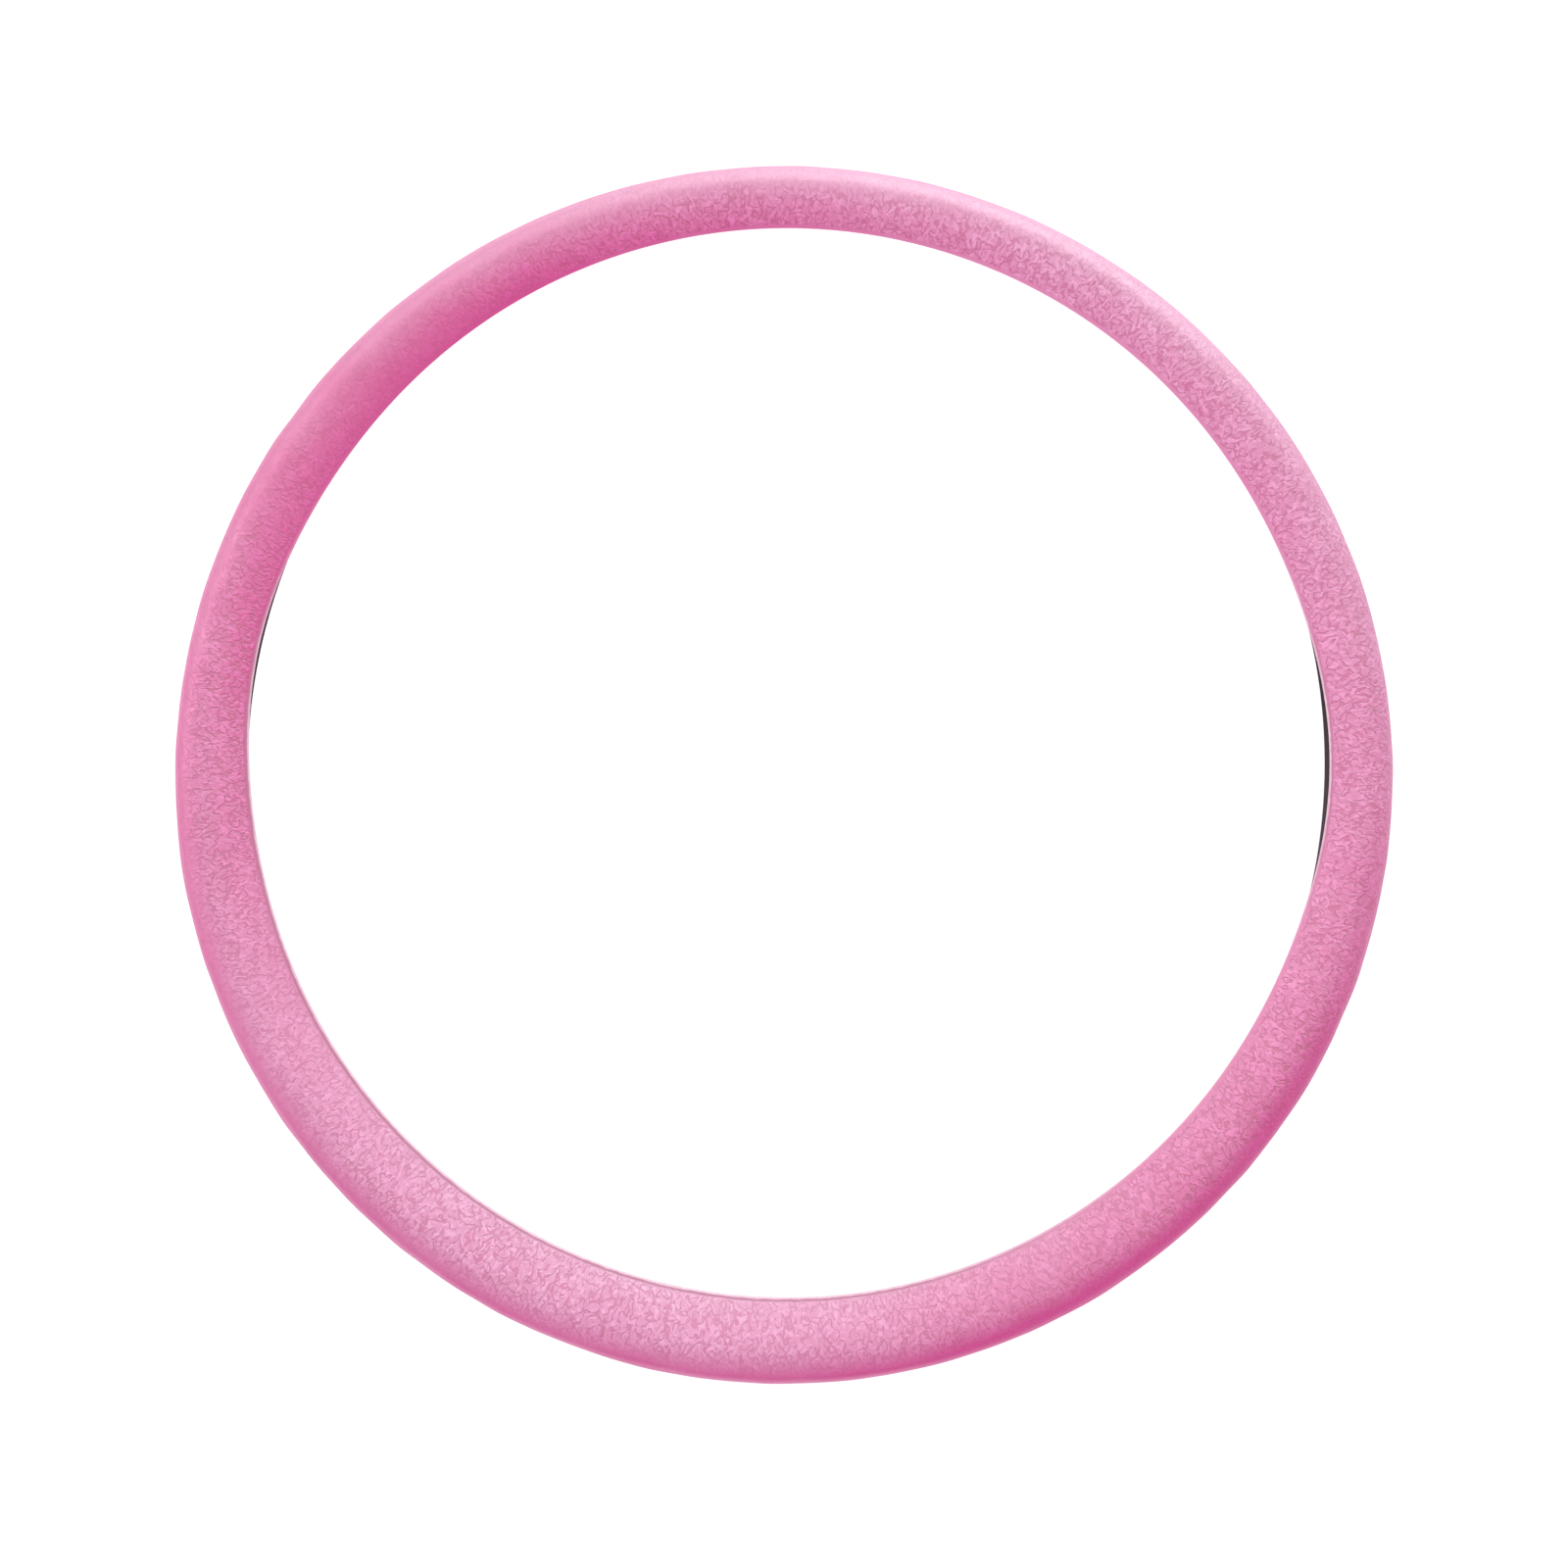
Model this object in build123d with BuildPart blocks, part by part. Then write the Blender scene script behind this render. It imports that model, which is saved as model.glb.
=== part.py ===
from build123d import *
import os
from math import asin, atan2, cos, degrees, radians, sin

# Soft cover for a steering wheel: an open ring of C-section, with its slot towards the ring's centre.
# Three layers glued together: a skin, a foam layer, and a rubber ring that grips the wheel's rim.
# Millimetres. The ring lies flat: the axis is Z, the centre is the origin and the face looks to +Z.

# --- whole ring ---
outer_diameter = 380.0
depth = 34.0  # front crown to back crown
face_width = 22.8  # seen from the front: outermost circle in to the lip
shoulder_radius = 7.0  # rounds the outer wall into the face
wall_bulge = 1.0  # the outer wall stands this far out past its shoulders
face_radius = 25.0  # gentle arc of the face, from its crown in to the lip

# --- layers, from the outside in ---
skin_thickness = 0.9
foam_thickness = 1.5
rubber_thickness = 1.8
glue_line = 0.1  # adhesive film on each side of the foam

# --- lips ---
nose_width = 1.2  # bare rubber that stands in past the skin's edge
bead_width = 5.0  # thick rubber under the skin's edge, past the foam's edge
edge_gap = 0.15  # foam's edge to the bead
nose_fillet = 1.2  # rounds both sides of a lip, for the hands and for the rim that slides over it

# --- anti-slip ribs across the seat ---
rib_count = 120
rib_width = 1.6
rib_height = 0.7
rib_root = 0.5  # sunk into the wall, so that rib and wall are one solid
rib_end_margin = 0.9  # from each end of a rib to the start of the shoulder, in degrees of the wall's arc

# --- worked out ---
half_depth = depth / 2
outer_radius = outer_diameter / 2
lip_radius = outer_radius - face_width
crown_radius = outer_radius - wall_bulge - shoulder_radius
rise = half_depth - shoulder_radius  # from the middle plane to a shoulder's centre
# The wall's arc passes through the outermost point and is tangent to both shoulders.
wall_radius = ((shoulder_radius + wall_bulge) ** 2 + rise**2 - shoulder_radius**2) / (2 * wall_bulge)
wall_centre = outer_radius - wall_radius
wall_angle = degrees(atan2(rise, crown_radius - wall_centre))
face_drop = half_depth - face_radius  # height of the centre of the face's arc
foam_top = skin_thickness + glue_line
rubber_top = foam_top + foam_thickness + glue_line
rubber_bottom = rubber_top + rubber_thickness
bead_radius = face_radius - foam_top  # arc of the bead's surface, which the skin is glued to


def bead_angle(width):
    """Degrees of the bead's arc under a strip of that width."""
    return degrees(width / bead_radius)


# Each edge is named by its wrap: the degrees that the face turns in from the crown to reach it.
lip_wrap = degrees(asin((crown_radius - lip_radius) / bead_radius))
skin_wrap = lip_wrap - bead_angle(nose_width)
foam_wrap = skin_wrap - bead_angle(bead_width)
bead_wrap = foam_wrap + bead_angle(edge_gap)


def face_point(layer, wrap, side):
    """A point that deep under the face's surface; side is 1 at the front and -1 at the back."""
    radius = face_radius - layer
    x = crown_radius - radius * sin(radians(wrap))
    return (x, side * (face_drop + radius * cos(radians(wrap))))


def shell_line(layer, wrap):
    """Lip to lip round the outside of the C, that deep under the skin's surface."""
    face = face_radius - layer
    shoulder = shoulder_radius - layer
    CenterArc((crown_radius, face_drop), face, 90 + wrap, -wrap)
    CenterArc((crown_radius, rise), shoulder, 90, wall_angle - 90)
    CenterArc((wall_centre, 0), wall_radius - layer, wall_angle, -2 * wall_angle)
    CenterArc((crown_radius, -rise), shoulder, -wall_angle, wall_angle - 90)
    CenterArc((crown_radius, -face_drop), face, -90, -wrap)


def layer_outline(top, bottom, wrap):
    """Closed section of a layer of even thickness, with edges square to the face."""
    shell_line(top, wrap)
    shell_line(bottom, wrap)
    for side in (1, -1):
        Line(face_point(top, wrap, side), face_point(bottom, wrap, side))


def bead_outline(side):
    """Closed section of the thick stretch of rubber that takes the foam's place beside a lip."""
    centre = (crown_radius, side * face_drop)
    for layer in (foam_top, rubber_top):
        CenterArc(centre, face_radius - layer, side * (90 + bead_wrap), side * (lip_wrap - bead_wrap))
    for wrap in (bead_wrap, lip_wrap):
        Line(face_point(foam_top, wrap, side), face_point(rubber_top, wrap, side))


# Pink suede-look leatherette over the whole outside, edge to edge.
with BuildPart() as suede_skin:
    with BuildSketch(Plane.XZ):
        with BuildLine():
            layer_outline(0, skin_thickness, skin_wrap)
        make_face()
    revolve(axis=Axis.Z)

# Sponge under the skin; it ends at the rubber beads, so no foam shows.
with BuildPart() as foam_layer:
    with BuildSketch(Plane.XZ):
        with BuildLine():
            layer_outline(foam_top, foam_top + foam_thickness, foam_wrap)
        make_face()
    revolve(axis=Axis.Z)

# One rib lies across the seat, along the outer wall's inner arc.
with BuildPart() as seat_rib:
    with BuildSketch(Plane.XZ):
        rib_angle = wall_angle - rib_end_margin
        with BuildLine():
            arcs = []
            for layer in (rubber_bottom - rib_root, rubber_bottom + rib_height):
                arcs.append(CenterArc((wall_centre, 0), wall_radius - layer, -rib_angle, 2 * rib_angle))
            for end in (0, 1):
                Line(arcs[0] @ end, arcs[1] @ end)
        make_face()
    extrude(amount=rib_width / 2, both=True)

# Moulded ring: an even wall, a bead with a rounded nose along each lip, and the ribs inside.
with BuildPart() as rubber_ring:
    with BuildSketch(Plane.XZ) as section:
        with BuildLine():
            layer_outline(rubber_top, rubber_bottom, lip_wrap)
        make_face()
        for side in (1, -1):
            with BuildLine():
                bead_outline(side)
            make_face()
        for side in (1, -1):
            for layer in (foam_top, rubber_bottom):
                corner = face_point(layer, lip_wrap, side)
                fillet(section.vertices().sort_by_distance(corner)[0], radius=nose_fillet)
    revolve(axis=Axis.Z)
    with PolarLocations(0, rib_count):
        add(seat_rib.part)

suede_skin.part.label = "suede_skin"
foam_layer.part.label = "foam_layer"
rubber_ring.part.label = "rubber_ring"

os.makedirs("parts", exist_ok=True)
export_step(suede_skin.part, "parts/suede_skin.step")
export_step(foam_layer.part, "parts/foam_layer.step")
export_step(rubber_ring.part, "parts/rubber_ring.step")
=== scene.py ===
"""A soft steering wheel cover, lying on its back on a pale floor, seen from straight above.

The cover is an open ring of C-section in three layers: a suede-look skin, a foam layer and a
ribbed rubber ring. Every layer is drawn in the same shell coordinates, which follow the section
from lip to lip, so that the layers lie on each other wherever the soft ring has eased its shape.
Lengths are metres. +Z is out of the face, +Y the top of the wheel.
"""
import math

import bpy
import numpy as np
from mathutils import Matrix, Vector


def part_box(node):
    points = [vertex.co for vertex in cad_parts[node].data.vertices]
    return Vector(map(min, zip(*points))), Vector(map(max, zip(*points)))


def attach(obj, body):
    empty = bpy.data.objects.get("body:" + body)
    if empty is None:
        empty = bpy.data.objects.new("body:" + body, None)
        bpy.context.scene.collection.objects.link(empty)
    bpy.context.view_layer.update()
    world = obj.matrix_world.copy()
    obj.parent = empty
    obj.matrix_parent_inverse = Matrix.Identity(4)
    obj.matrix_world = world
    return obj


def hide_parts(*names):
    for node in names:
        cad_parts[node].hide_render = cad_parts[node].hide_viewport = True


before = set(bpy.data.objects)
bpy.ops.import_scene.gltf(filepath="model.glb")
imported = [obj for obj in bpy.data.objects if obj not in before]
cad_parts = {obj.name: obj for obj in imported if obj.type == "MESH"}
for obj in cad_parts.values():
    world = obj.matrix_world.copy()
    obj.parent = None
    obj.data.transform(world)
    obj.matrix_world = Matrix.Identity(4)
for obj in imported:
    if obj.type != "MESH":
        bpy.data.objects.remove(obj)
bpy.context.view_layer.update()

MM = 0.001
TURN = 2 * math.pi

# ---------------------------------------------------------------- sizes
SKIN_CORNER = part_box("suede_skin")[1]
OUTER = SKIN_CORNER.x  # radius of the outermost circle
HALF_DEPTH = SKIN_CORNER.z  # middle plane to a crown
FACE_WIDTH = 22.8 * MM  # outermost circle in to the lip
SHOULDER = 7.0 * MM  # radius of the turn from the outer wall to the face
BULGE = 1.0 * MM  # the wall stands out this far past its shoulders
FACE = 25.0 * MM  # radius of the face's gentle arc

SKIN = 0.9 * MM  # thickness of each layer
FOAM = 1.5 * MM
RUBBER = 1.8 * MM
GLUE = 0.1 * MM

CROWN = OUTER - BULGE - SHOULDER  # radius of the crown's circle
RISE = HALF_DEPTH - SHOULDER
WALL = ((SHOULDER + BULGE) ** 2 + RISE**2 - SHOULDER**2) / (2 * BULGE)
WALL_CENTRE = OUTER - WALL
WALL_TURN = math.atan2(RISE, CROWN - WALL_CENTRE)
FACE_DROP = HALF_DEPTH - FACE

FOAM_TOP = SKIN + GLUE  # depth of each surface under the skin's
RUBBER_TOP = FOAM_TOP + FOAM + GLUE
RUBBER_BOTTOM = RUBBER_TOP + RUBBER
BEAD_FACE = FACE - FOAM_TOP
NOSE = 1.2 * MM  # bare rubber past the skin's edge, on an evenly glued cover
BEAD = 5.0 * MM  # thick rubber under the skin's edge
RIBS = 120
RIB_WIDTH = 1.6 * MM
RIB_HEIGHT = 0.7 * MM

# Places along the shell, measured on the skin's surface from the outermost line.
WALL_END = WALL * WALL_TURN
CROWN_AT = WALL_END + SHOULDER * (math.pi / 2 - WALL_TURN)
LIP_TURN = math.asin((CROWN - (OUTER - FACE_WIDTH)) / BEAD_FACE)
LIP_AT = CROWN_AT + FACE * LIP_TURN
SKIN_AT = LIP_AT - NOSE * FACE / BEAD_FACE
FOAM_AT = SKIN_AT - BEAD * FACE / BEAD_FACE
RIB_AT = 0.92 * WALL_END


# ---------------------------------------------------------------- the soft ring's shape
EASED_SIDE, EASED_UP = 0.9, 3.7  # mm that the hole sits off the ring's middle, to +X and to +Y
SPREAD = 1.6  # mm that the back lip is further out than the front one

# Where the rubber shows past the skin's edge: middle and spread in degrees, share of BARE.
SHOWN = ((1.5, 16.5, 1.0), (166, 15.5, 0.7))
BARE = 3.1 * MM  # how far the skin's edge stands back there
COVER = 0.15 * MM  # from the lip back to where the skin's edge starts to roll, elsewhere


def gap_of(angle, middle, spread):
    """Degrees of turn between angle and middle, in spreads, as a bell: exp(-(gap / spread)^2)."""
    gap = (np.degrees(angle) - middle + 180) % 360 - 180
    return np.exp(-((gap / spread) ** 2))


def section_scale(angle, back):
    """How wide the section has eased, against its moulded width: about 1 - 0.04 cos - 0.16 sin.

    The cover is slack without a wheel in it, so its lips close up at the top and open at the
    bottom, and the hole sits a little above the middle of the ring. The back lip, which lies
    towards the table, is spread a little wider than the front one.
    """
    narrower = EASED_SIDE * np.cos(angle) + EASED_UP * np.sin(angle) + SPREAD * back
    return 1 - narrower * MM / FACE_WIDTH


def shown_rubber(angle):
    """How much of the rubber shows, 0 to 1: the sum of the bells of SHOWN."""
    return sum(gap_of(angle, middle, spread) * share for middle, spread, share in SHOWN)


def shell_point(angle, along, depth):
    """Point of the shell at an angle round the ring, a place along the section and a depth.

    Each arc of the section has its own centre. A point lies at (arc's radius - depth) from it,
    turned by along / radius past the arc's start: the outer wall for the first WALL_END, then
    the shoulder up to CROWN_AT, then the face. The back half mirrors the front. The radius
    from the axis is then eased about the outermost circle by section_scale.
    """
    side = np.where(along < 0, -1.0, 1.0)
    far = np.abs(along)
    wall = far / WALL
    shoulder = WALL_TURN + (far - WALL_END) / SHOULDER
    face = math.pi / 2 + (far - CROWN_AT) / FACE
    on_wall, on_face = far <= WALL_END, far > CROWN_AT
    turn = np.where(on_wall, wall, np.where(on_face, face, shoulder))
    radius = np.where(on_wall, WALL, np.where(on_face, FACE, SHOULDER)) - depth
    centre_r = np.where(on_wall, WALL_CENTRE, CROWN)
    centre_z = np.where(on_wall, 0.0, np.where(on_face, FACE_DROP, RISE))
    r = centre_r + radius * np.cos(turn)
    z = side * (centre_z + radius * np.sin(turn))
    r = OUTER - (OUTER - r) * section_scale(angle, np.clip(-z / HALF_DEPTH, 0, 1))
    return np.stack(np.broadcast_arrays(r * np.cos(angle), r * np.sin(angle), z), axis=-1)


def soft_field(columns, rows, length, width, size, seed):
    """Smooth random field that closes round the ring, with waves of about that size.

    White noise is filtered by exp(-(k size / 4)^2) in both directions and scaled to a
    standard deviation of 1.
    """
    noise = np.random.default_rng(seed).standard_normal((columns, rows))
    ku = np.fft.fftfreq(columns, length / columns)[:, None] * TURN
    kv = np.fft.fftfreq(rows, width / rows)[None, :] * TURN
    field = np.fft.ifft2(np.fft.fft2(noise) * np.exp(-((ku**2 + kv**2) * (size / 4) ** 2))).real
    return field / field.std()


# ---------------------------------------------------------------- meshes
def closed_surface(name, points):
    """Mesh of a grid of points that closes on itself both ways, with its faces outwards."""
    columns, rows = points.shape[:2]
    i, j = np.meshgrid(np.arange(columns), np.arange(rows), indexing="ij")
    right, up = (i + 1) % columns, (j + 1) % rows
    quads = np.stack([i * rows + j, i * rows + up, right * rows + up, right * rows + j], axis=-1)
    mesh = bpy.data.meshes.new(name)
    mesh.vertices.add(columns * rows)
    mesh.vertices.foreach_set("co", points.reshape(-1).astype(np.float32))
    mesh.loops.add(quads.size)
    mesh.loops.foreach_set("vertex_index", quads.reshape(-1).astype(np.int32))
    mesh.polygons.add(quads.size // 4)
    mesh.polygons.foreach_set("loop_start", np.arange(0, quads.size, 4, dtype=np.int32))
    mesh.polygons.foreach_set("use_smooth", np.ones(quads.size // 4, dtype=bool))
    mesh.update(calc_edges=True)
    mesh.validate()
    piece = bpy.data.objects.new(name, mesh)
    bpy.context.collection.objects.link(piece)
    return piece


def add_values(piece, name, values):
    """Stores one number per vertex on the piece, for its material."""
    attribute = piece.data.attributes.new(name, "FLOAT", "POINT")
    attribute.data.foreach_set("value", values.reshape(-1).astype(np.float32))


def spaced(start, end, count):
    """Places from start to just short of end, so that the next stretch begins with end."""
    return start + (end - start) * np.arange(count) / count


HEM = 0.8 * MM  # width of the turned edge
HEM_RISE = 0.16 * MM  # the turned edge stands proud of the face
CREASE = 0.32 * MM  # depth of the crease behind the turned edge
CREASE_WIDTH = 0.45 * MM
# Where the turned edge shows: middle and spread in degrees, strength.
TURNED = ((3, 17, 0.7), (178, 24, 0.65), (215, 30, 1.0), (268, 38, 0.75))
SOFTNESS = 0.06 * MM  # gentle unevenness of the skin over the foam
ROLL = 0.55 * SKIN  # how far the rolled edge stands out past the outside's end

# How much the skin's lightness changes round the ring: mm from the lip, then the change there.
# The two onefold changes are painted light and shade, not a finish. Each is nothing at the crown
# and grows down the slope beside it, as under a lamp at the top of the wheel. Zeros for their
# changes take it off. The twofold change is painted too: the pink is paler at TWOFOLD_AT and half
# a turn on, deeper between.
LIT_NEAR_LIP = ((0, 5, 7, 10, 11.5, 14.3, 17), (0.27, 0.27, 0.23, 0.21, 0.17, 0.08, 0))
LIT_OUTSIDE = ((17, 19.5, 22, 24.5, 30), (0, 0.05, 0.24, 0.56, 0.08))
TWOFOLD = ((24.5, 30), (0.38, 0.2))
# Where round the ring each of these is lightest, in degrees.
LIT_NEAR_LIP_AT, LIT_OUTSIDE_AT, TWOFOLD_AT = 307, 78, 56


def make_skin():
    """The skin: its outside from lip to lip, a rolled edge, its inside, and the other edge.

    Along the outside the depth is -HEM_RISE over the turned edge, +CREASE in a narrow bell
    behind it, and the soft unevenness elsewhere. The rolled edge is half an ellipse.
    """
    columns, face_rows, hem_rows, roll_rows, back_rows = 1000, 50, 12, 5, 12
    angle = spaced(0, TURN, columns)[:, None]
    edge = LIP_AT - COVER - BARE * shown_rubber(angle)
    inner = edge - 5 * HEM
    # Signed places along the outside, front lip to back lip.
    share = spaced(0, 1, hem_rows)[None, :]
    front_hem = edge + (inner - edge) * share**1.3
    middle = inner - 2 * inner * spaced(0, 1, face_rows)[None, :]
    outside = np.concatenate([front_hem, middle, -front_hem[:, ::-1]], axis=1)
    uneven = soft_field(columns, outside.shape[1], TURN * OUTER, 2 * LIP_AT, 11 * MM, 3)
    from_edge = edge - np.abs(outside)
    calm = np.clip((from_edge - HEM) / (4 * MM), 0, 1)
    hem = np.sqrt(np.clip(1 - ((from_edge - HEM / 2) / (HEM / 2)) ** 2, 0, 1))
    crease = np.exp(-(((from_edge - HEM - CREASE_WIDTH / 2) / CREASE_WIDTH) ** 2))
    shows = sum(gap_of(angle, centre, spread) * size for centre, spread, size in TURNED) + 0.08
    outside_depth = shows * (CREASE * crease - HEM_RISE * hem) - SOFTNESS * uneven * calm
    # A rolled edge turns from the outside to the inside.
    turn = (np.arange(roll_rows)[None, :] + 0.5) / roll_rows * math.pi
    out = ROLL * np.sin(turn)
    down = SKIN / 2 * (1 - np.cos(turn)) + 0 * edge
    inside = edge * (spaced(-1, 1, back_rows)[None, :] + 1 / back_rows)
    along = np.concatenate([outside, -edge - out, inside, edge + out[:, ::-1]], axis=1)
    depth = np.concatenate([outside_depth, down, SKIN + 0 * inside, down[:, ::-1]], axis=1)
    skin = closed_surface("skin", shell_point(angle, along, depth))

    size = (columns, along.shape[1], TURN * OUTER, 4 * LIP_AT)
    rubbed = soft_field(*size, 55 * MM, 8)
    brushed = soft_field(*size, 70 * MM, 21)
    from_lip = (LIP_AT - np.abs(along)) / MM
    fades_at = 17 - 5 * gap_of(angle, 95, 55)
    stretched = np.clip((from_lip - fades_at) / 6, 0, 1) * (1 - 0.8 * gap_of(angle, 5, 42))
    fainter = 0.1 * rubbed + 0.6 * gap_of(angle, 138, 22) + 0.3 * gap_of(angle, 290, 30)
    lightness = 0.5 + 0.04 * brushed
    for folds, table, lightest in (
        (2, TWOFOLD, TWOFOLD_AT),
        (1, LIT_NEAR_LIP, LIT_NEAR_LIP_AT),
        (1, LIT_OUTSIDE, LIT_OUTSIDE_AT),
    ):
        change = np.interp(from_lip, *table)
        lightness = lightness + change * np.cos(folds * (angle - math.radians(lightest)))
    add_values(skin, "from_edge", (edge - np.abs(along)) / MM)
    add_values(skin, "turned", shows + 0 * along)
    add_values(skin, "grain", (1 - 0.75 * stretched) * (1 - fainter))
    add_values(skin, "lightness", lightness)
    return skin


def make_foam():
    """The foam: a sheet of even thickness with rounded edges, between the skin and the rubber."""
    columns, rows, roll_rows = 480, 36, 5
    angle = spaced(0, TURN, columns)[:, None]
    reach = FOAM_AT - FOAM / 2
    outside = reach * (1 - 2 * np.arange(rows) / (rows - 1))
    turn = (np.arange(roll_rows) + 0.5) / roll_rows * math.pi
    out, down = FOAM / 2 * np.sin(turn), FOAM / 2 * (1 - np.cos(turn))
    along = np.concatenate([outside, -reach - out, outside[::-1], reach + out[::-1]])[None, :]
    depth = np.concatenate([0 * outside, down, FOAM + 0 * outside, down[::-1]])[None, :] + FOAM_TOP
    return closed_surface("foam", shell_point(angle, along, depth))


BLUNT = 0.9 * MM  # length of the rubber's nose
FLANK = 0.18 * MM  # width of a rib's sloped side
TUCKED = 0.7 * MM  # the lip is drawn in this far under a skin that covers it


def make_rubber():
    """The rubber ring: an even wall that thickens to a bead at each lip, with ribs on its seat.

    The outer surface runs at RUBBER_TOP and steps up to FOAM_TOP at the bead. The nose is half
    a superellipse, |x / a|^4 + |y / b|^4 = 1, and stands further out where it shows. Inside,
    the depth grows by RIB_HEIGHT on each rib, with sloped flanks.
    """
    pitch = TURN * (OUTER - RUBBER_BOTTOM) / RIBS
    half, away = RIB_WIDTH / 2, RIB_WIDTH / 2 + 0.8 * MM
    stops = np.array([-half, FLANK - half, 0, half - FLANK, half, away, pitch / 2, pitch - away])
    on_rib = np.array([0, 1, 1, 1, 0, 0, 0, 0])
    angle = ((np.arange(RIBS)[:, None] + stops / pitch) * TURN / RIBS).reshape(-1, 1)
    rib = np.tile(on_rib, RIBS)[:, None]
    reach = LIP_AT - BLUNT
    on_bead = np.linspace(reach, FOAM_AT + 0.3 * MM, 7)
    outside = np.concatenate([on_bead, np.linspace(FOAM_AT + 0.15 * MM, 0, 16)])
    outside = np.concatenate([outside, -outside[-2::-1]])
    top = np.where(np.abs(outside) > FOAM_AT + 0.2 * MM, FOAM_TOP, RUBBER_TOP)
    turn = (np.arange(12) + 0.5) / 12 * math.pi
    out = BLUNT * np.sqrt(np.sin(turn))
    fall = 1 - np.sign(np.cos(turn)) * np.sqrt(np.abs(np.cos(turn)))
    down = FOAM_TOP + (RUBBER_BOTTOM - FOAM_TOP) / 2 * fall
    past_seat = np.linspace(reach, RIB_AT + 0.6 * MM, 12)
    seat = np.concatenate([[RIB_AT, RIB_AT - FLANK], np.linspace(RIB_AT - 1.5 * MM, 0, 6)])
    inside = np.concatenate([past_seat, seat])
    inside = np.concatenate([inside, -inside[-2::-1]])
    on_seat = (np.abs(inside) <= RIB_AT - FLANK * 0.99).astype(float)
    along = np.concatenate([outside, -reach - out, inside[::-1], reach + out[::-1]])[None, :]
    depth = np.concatenate([top, down, RUBBER_BOTTOM + 0 * inside, down[::-1]])[None, :]
    lift = np.concatenate([0 * outside, 0 * out, on_seat, 0 * out])[None, :]
    covered = 1 - np.minimum(shown_rubber(angle), 1)
    past_foam = np.clip((np.abs(along) - FOAM_AT) / BEAD, 0, 1)
    along = along - np.sign(along) * TUCKED * covered * past_foam
    return closed_surface("rubber", shell_point(angle, along, depth + RIB_HEIGHT * lift * rib))


# ---------------------------------------------------------------- materials
class Value:
    """A number on a surface; each operator adds the Math node that does it."""

    def __init__(self, nodes, socket):
        self.nodes, self.socket = nodes, socket

    def math(self, operation, *others, clamp=False):
        settings = {"operation": operation, "use_clamp": clamp}
        return self.nodes.add("ShaderNodeMath", settings, [self, *others])

    def __add__(self, other):
        return self.math("ADD", other)

    def __sub__(self, other):
        return self.math("SUBTRACT", other)

    def __rsub__(self, other):
        return (self * -1).math("ADD", other)

    def __mul__(self, other):
        return self.math("MULTIPLY", other)

    def __truediv__(self, other):
        return self.math("DIVIDE", other)

    def __rtruediv__(self, other):
        return (self**-1) * other

    def __pow__(self, other):
        return self.math("POWER", other)

    __radd__, __rmul__ = __add__, __mul__

    def between(self, low, high):
        """0 at low, 1 at high, smooth between."""
        inputs = {"Value": self, "From Min": low, "From Max": high}
        return self.nodes.add("ShaderNodeMapRange", {"interpolation_type": "SMOOTHSTEP"}, inputs)


class Nodes:
    """The nodes of one material."""

    def __init__(self, name):
        self.material = bpy.data.materials.new(name)
        self.material.use_nodes = True
        self.tree = self.material.node_tree
        self.tree.nodes.clear()

    def add(self, kind, settings=(), inputs=(), output=0):
        """Adds a node: its settings, then its inputs by name or in order; gives one output."""
        node = self.tree.nodes.new(kind)
        for key, value in dict(settings).items():
            setattr(node, key, value)
        for key, value in inputs.items() if isinstance(inputs, dict) else enumerate(inputs):
            self.feed(node.inputs[key], value)
        return Value(self, node.outputs[output])

    def feed(self, socket, value):
        """Links a value to a node's input, or sets the input to a constant."""
        if isinstance(value, Value):
            self.tree.links.new(value.socket, socket)
        else:
            socket.default_value = value

    def value(self, name):
        """A number stored on the surface."""
        return self.add("ShaderNodeAttribute", {"attribute_name": name}, output=2)

    def place(self):
        """The place on the piece, in metres."""
        return self.add("ShaderNodeTexCoord", output=3)

    def vector(self, operation, *inputs, output=0):
        return self.add("ShaderNodeVectorMath", {"operation": operation}, inputs, output)

    def noise(self, place, scale, detail=2.0, roughness=0.5):
        inputs = {"Vector": place, "Scale": scale, "Detail": detail, "Roughness": roughness}
        return self.add("ShaderNodeTexNoise", {}, inputs)

    def bump(self, height, distance, strength=1.0):
        inputs = {"Height": height, "Distance": distance, "Strength": strength}
        return self.add("ShaderNodeBump", {}, inputs)

    def mix(self, share, first, second, blend="MIX"):
        """Mixes two colours."""
        node = self.tree.nodes.new("ShaderNodeMix")
        node.data_type, node.blend_type = "RGBA", blend
        self.feed(node.inputs[0], share)
        for index, colour in ((6, first), (7, second)):
            self.feed(node.inputs[index], colour if isinstance(colour, Value) else (*colour, 1))
        return Value(self, node.outputs[2])

    def finish(self, inputs):
        """Ends the material with one shader."""
        shader = self.add("ShaderNodeBsdfPrincipled", {}, inputs)
        output = self.tree.nodes.new("ShaderNodeOutputMaterial")
        self.tree.links.new(shader.socket, output.inputs["Surface"])
        return self.material


# The suede where its lightness, painted light and shade with some random tone, is least and most.
PINK_DEEP, PINK_PALE = (0.572, 0.021, 0.224), (0.719, 0.262, 0.476)
# Painted shade and painted highlight: what a sunk and a raised stroke of the grain multiply it by.
SUNK_SHADE, RAISED_HIGHLIGHT = (0.83, 0.53, 0.68), (1.17, 1.47, 1.32)
# Painted highlight on the turned edge and painted shade in the crease behind it.
HEM_HIGHLIGHT, CREASE_SHADE = (0.78, 0.62, 0.69), (0.34, 0.06, 0.16)
STROKES = (570.0, 500.0)  # scales of the noises that draw the raised and the sunk strokes
DRAWN_OUT = 0.68  # how fast the grain varies across the band, against round it


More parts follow.
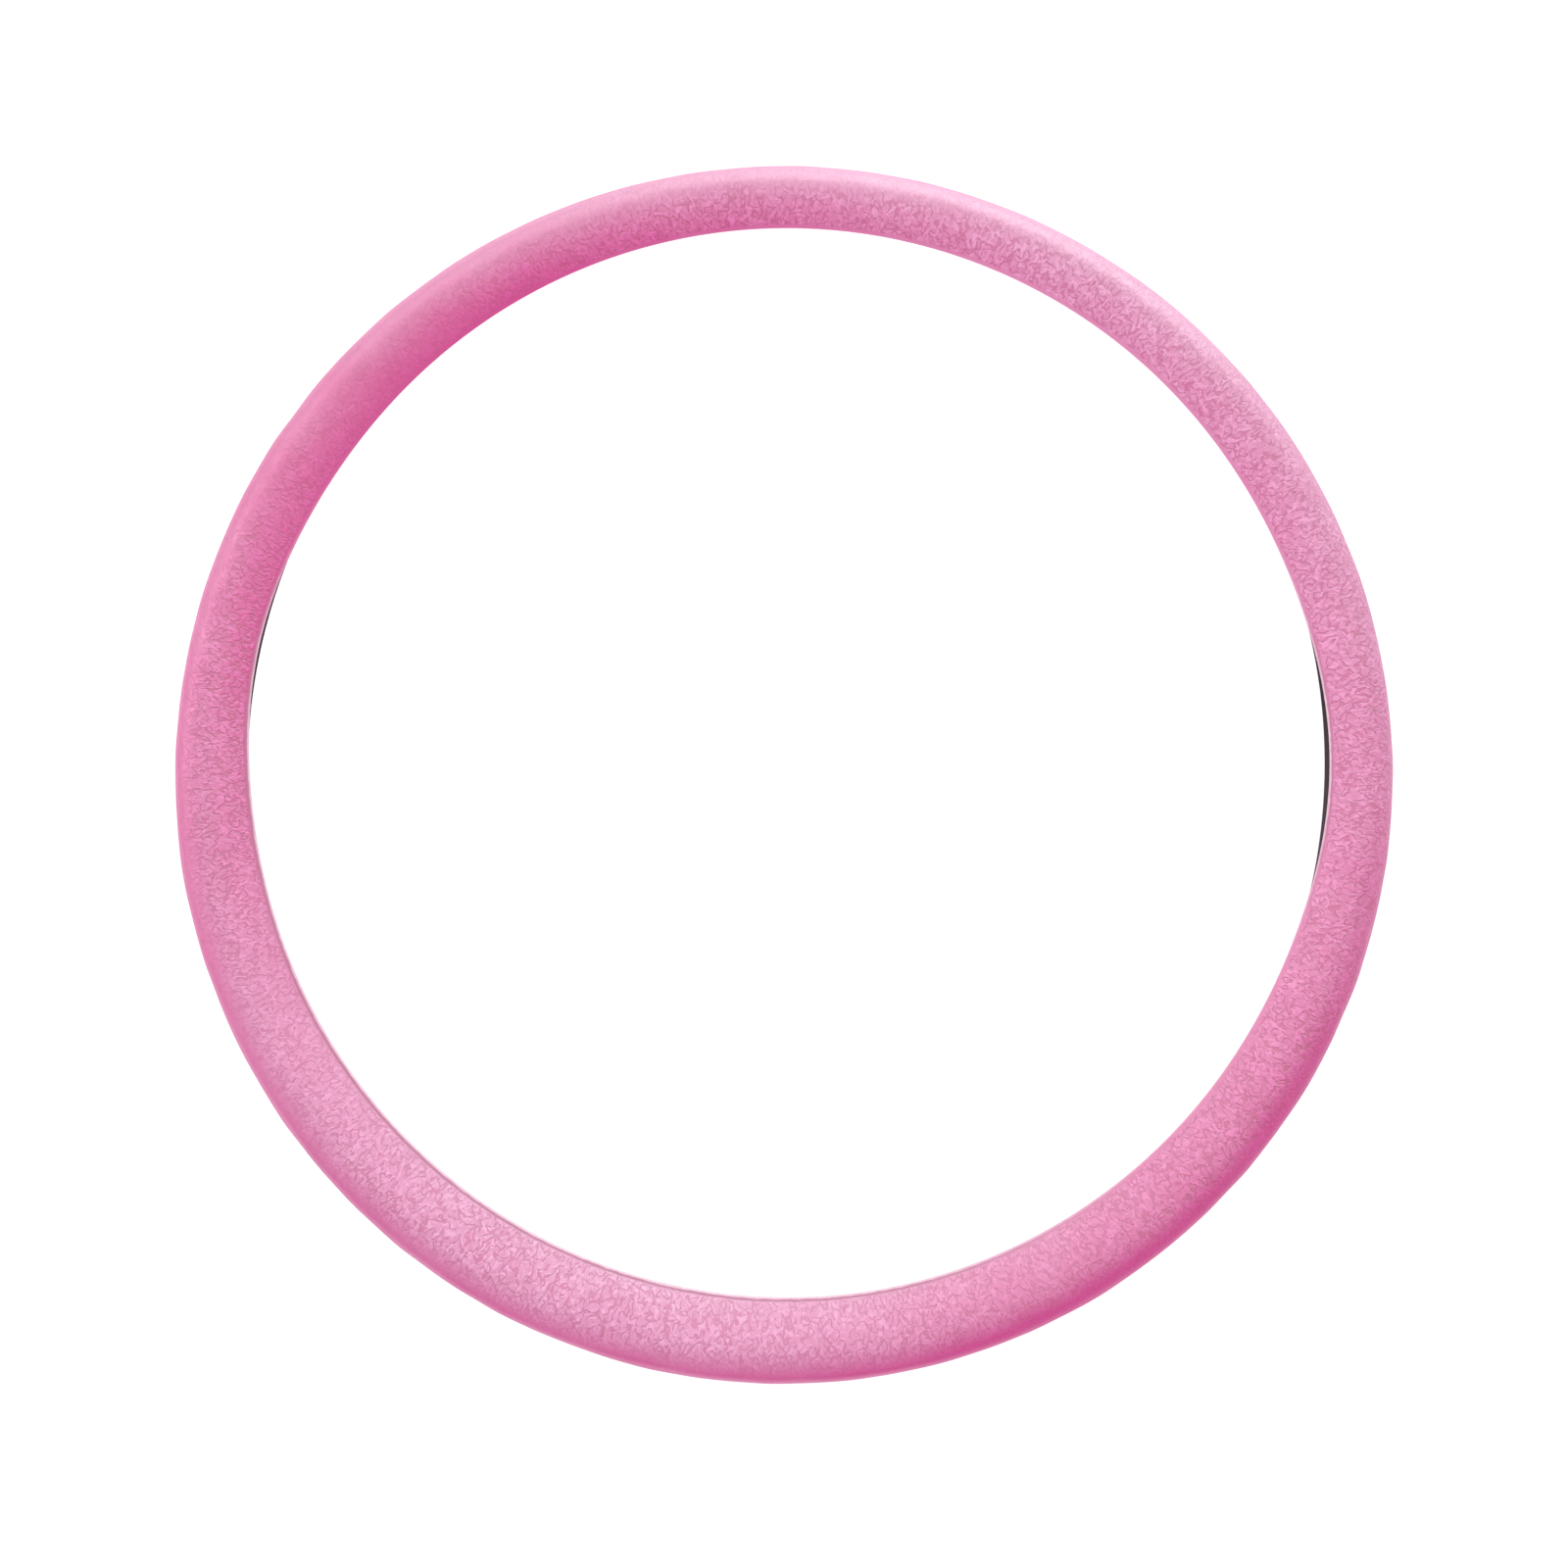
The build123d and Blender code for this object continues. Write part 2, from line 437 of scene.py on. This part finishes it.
def suede():
    """Suede-look leatherette: fine wormy grain, with painted highlight on its ridges and painted
    shade in its furrows.

    The pink runs from deep to pale by the painted light and shade on the skin. The turned edge is
    smooth and painted paler, a painted highlight, and the crease behind it is painted dark, a
    painted shade. The distances from the skin's edge are in millimetres.
    """
    n = Nodes("suede leatherette")
    place = n.place()
    from_edge, turned = n.value("from_edge"), n.value("turned").between(0.05, 0.85)
    # Radii are squeezed about the outermost circle before the grain is drawn.
    out = n.vector("LENGTH", n.vector("MULTIPLY", place, (1, 1, 0)), output=1)
    squeeze = DRAWN_OUT + OUTER * (1 - DRAWN_OUT) / out
    squeezed = n.add("ShaderNodeCombineXYZ", {}, [squeeze, squeeze, 1.0])
    drawn = n.vector("MULTIPLY", place, squeezed)
    wander_inputs = {"Vector": drawn, "Scale": 600.0, "Detail": 0.0}
    wander = n.add("ShaderNodeTexNoise", {}, wander_inputs, output=1)
    bent = n.vector("MULTIPLY_ADD", wander, (1.2 * MM,) * 3, drawn)
    # Raised and sunk strokes: the lines along which two noises cross their middle.
    raised, sunk = (
        (n.noise(bent, scale, 0.0) - 0.5).math("ABSOLUTE").between(0, 0.09) for scale in STROKES
    )
    worms = n.noise(bent, 940.0, 0.5, 0.4) - 0.5
    ridge = ((sunk - raised) * 0.8 + worms * 0.8).math("ADD", 0.5, clamp=True)
    strength = from_edge.between(0.7, 2.0) * n.value("grain")
    patches = n.noise(place, 45.0, 3.0, 0.55)
    lightness = n.value("lightness") + (patches - 0.5) * 0.45
    colour = n.mix(lightness / 1.2, PINK_DEEP, PINK_PALE)
    # Sunk strokes get painted shade and raised ones a painted highlight.
    relief_light_and_shade = n.mix((ridge - 0.5) * strength + 0.5, SUNK_SHADE, RAISED_HIGHLIGHT)
    colour = n.mix(1.0, colour, relief_light_and_shade, "MULTIPLY")
    # Over the shoulder the pink is painted a little darker: painted shade.
    colour = n.mix(1.0, colour, 1 - from_edge.between(9.0, 19.0) * 0.1, "MULTIPLY")
    # The turned edge gets a painted highlight and the crease a painted shade.
    ragged = from_edge + (n.noise(place, 300.0, 2.0) - 0.5) * 0.5
    hem = (1 - ragged.between(0.15, 0.6)) * turned
    colour = n.mix(hem * 0.7, colour, HEM_HIGHLIGHT)
    crease = ragged.between(0.4, 0.7) * (1 - ragged.between(0.9, 1.4)) * turned
    colour = n.mix(crease * 0.8, colour, CREASE_SHADE)
    return n.finish({
        "Base Color": colour,
        "Roughness": 0.74 - ridge * 0.06,
        "IOR": 1.5,
        "Sheen Weight": 0.05,
        "Sheen Roughness": 0.5,
        "Normal": n.bump(ridge * strength, 0.2 * MM),
    })


def sponge():
    """Grey closed-cell sponge."""
    n = Nodes("grey sponge")
    place = n.place()
    cells = n.add("ShaderNodeTexVoronoi", {}, {"Vector": place, "Scale": 900.0})
    tone = n.noise(place, 60.0, 3.0)
    colour = n.mix(tone * 0.5 + cells * 0.3, (0.42, 0.40, 0.39), (0.62, 0.60, 0.58))
    bump = n.bump(cells, 0.4 * MM, 0.8)
    return n.finish({"Base Color": colour, "Roughness": 0.9, "Normal": bump})


def rubber():
    """Black moulded rubber with a faint bloom and the fine texture of the mould."""
    n = Nodes("black rubber")
    place = n.place()
    bloom = n.noise(place, 45.0, 4.0, 0.6).between(0.4, 0.7)
    texture = n.noise(place, 2600.0, 2.0, 0.6)
    return n.finish({
        "Base Color": n.mix(bloom, (0.018, 0.008, 0.014), (0.032, 0.019, 0.027)),
        "Roughness": 0.42 + bloom * 0.16 + texture * 0.06,
        "Normal": n.bump(texture, 0.12 * MM, 0.5),
        "Specular IOR Level": 0.07,
    })


def pale_floor():
    """A white table that glows softly from below, as for a catalogue picture."""
    n = Nodes("pale floor")
    tone = n.noise(n.place(), 3.0, 2.0)
    return n.finish({
        "Base Color": n.mix(tone, (0.40, 0.40, 0.40), (0.44, 0.44, 0.44)),
        "Roughness": 0.9,
        "Emission Color": (1, 1, 1, 1),
        "Emission Strength": 0.74,
    })


# ---------------------------------------------------------------- the object
def place_layers():
    """Makes the three layers, each in place of its own CAD node."""
    for piece, node, slot, material, fill in (
        (make_skin(), "suede_skin", "suede", suede(), 0.9),
        (make_foam(), "foam_layer", "sponge", sponge(), 1.0),
        (make_rubber(), "rubber_ring", "rubber", rubber(), None),
    ):
        piece.data.materials.append(material)
        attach(piece, "root")
        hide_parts(node)


# ---------------------------------------------------------------- studio
FLOOR_RADIUS = 160.0  # so wide that a low view doesn't show its edge
FLOOR_HEIGHT = -HALF_DEPTH - 3 * SOFTNESS


def make_floor():
    """A disc under the ring, r = FLOOR_RADIUS (i / rings)^3."""
    rings, spokes = 24, 96
    r = FLOOR_RADIUS * (np.arange(1, rings + 1) / rings) ** 3
    a = spaced(0, TURN, spokes)
    x, y = (r[:, None] * np.cos(a)).reshape(-1), (r[:, None] * np.sin(a)).reshape(-1)
    points = np.stack([x, y, np.full(x.shape, FLOOR_HEIGHT)], axis=-1)
    points = np.concatenate([points, [[0, 0, FLOOR_HEIGHT]]])
    i, j = np.meshgrid(np.arange(rings - 1), np.arange(spokes), indexing="ij")
    k = (j + 1) % spokes
    near, far = i * spokes, (i + 1) * spokes
    quads = np.stack([near + j, far + j, far + k, near + k], axis=-1)
    middle = [(rings * spokes, m, (m + 1) % spokes) for m in range(spokes)]
    mesh = bpy.data.meshes.new("floor")
    faces = [tuple(quad) for quad in quads.reshape(-1, 4).tolist()] + middle
    mesh.from_pydata(points.tolist(), [], faces)
    floor = bpy.data.objects.new("floor", mesh)
    bpy.context.collection.objects.link(floor)
    floor.data.materials.append(pale_floor())


BOX_DISTANCE, BOX_SIZE = 1.7, 0.9


def soft_box(name, azimuth, elevation, power):
    """A square light that looks at the ring; azimuth is measured from +X towards +Y."""
    light = bpy.data.lights.new(name, "AREA")
    light.shape, light.size, light.energy = "SQUARE", BOX_SIZE, power
    lamp = bpy.data.objects.new(name, light)
    a, e = math.radians(azimuth), math.radians(elevation)
    aim = Vector((math.cos(a) * math.cos(e), math.sin(a) * math.cos(e), math.sin(e)))
    lamp.location = aim * BOX_DISTANCE
    lamp.rotation_euler = (-aim).to_track_quat("-Z", "Y").to_euler()
    bpy.context.collection.objects.link(lamp)
    return lamp


# Softboxes: name, azimuth and elevation in degrees, watts, and whether the matte is lit too.
SOFTBOXES = (
    ("overhead", 0, 89, 5, True),
    ("bottom", 270, 45, 5, True),
    ("overhead bloom", 0, 89, 70, False),
    ("right bloom", 0, 15, 27, False),
    ("top right bloom", 60, 10, 124, False),
    ("top bloom", 85, 10, 98, False),
    ("top left bloom", 130, 25, 38, False),
    ("left bloom", 165, 15, 62, False),
)


def light_studio():
    """An even pale surround with softboxes.

    The blooms light the gloss alone: one from overhead, the others low from the right over the
    top to the left. They lay a white bloom on the skin and throw no shadow on the table.
    """
    world = bpy.data.worlds.new("surround")
    world.use_nodes = True
    background = world.node_tree.nodes["Background"]
    background.inputs["Color"].default_value = (1, 1, 1, 1)
    background.inputs["Strength"].default_value = 0.71
    bpy.context.scene.world = world
    for name, azimuth, elevation, power, matte in SOFTBOXES:
        soft_box(name, azimuth, elevation, power).visible_diffuse = matte


DISTANCE = 5.0  # camera to the middle plane
VIEW_WIDTH = 489.4 * MM  # width of the middle plane that the picture spans
SENSOR = 36.0


def make_camera():
    """Looks straight down on the face from far off, with the top of the wheel up."""
    data = bpy.data.cameras.new("camera")
    data.sensor_width = SENSOR
    data.lens = SENSOR * DISTANCE / VIEW_WIDTH
    data.clip_start, data.clip_end = 0.1, 400.0
    camera = bpy.data.objects.new("camera", data)
    camera.location = (0.0, -2.8 * MM, DISTANCE)
    bpy.context.collection.objects.link(camera)
    bpy.context.scene.camera = camera


place_layers()
make_floor()
light_studio()
make_camera()
bpy.context.scene.view_settings.view_transform = "Standard"
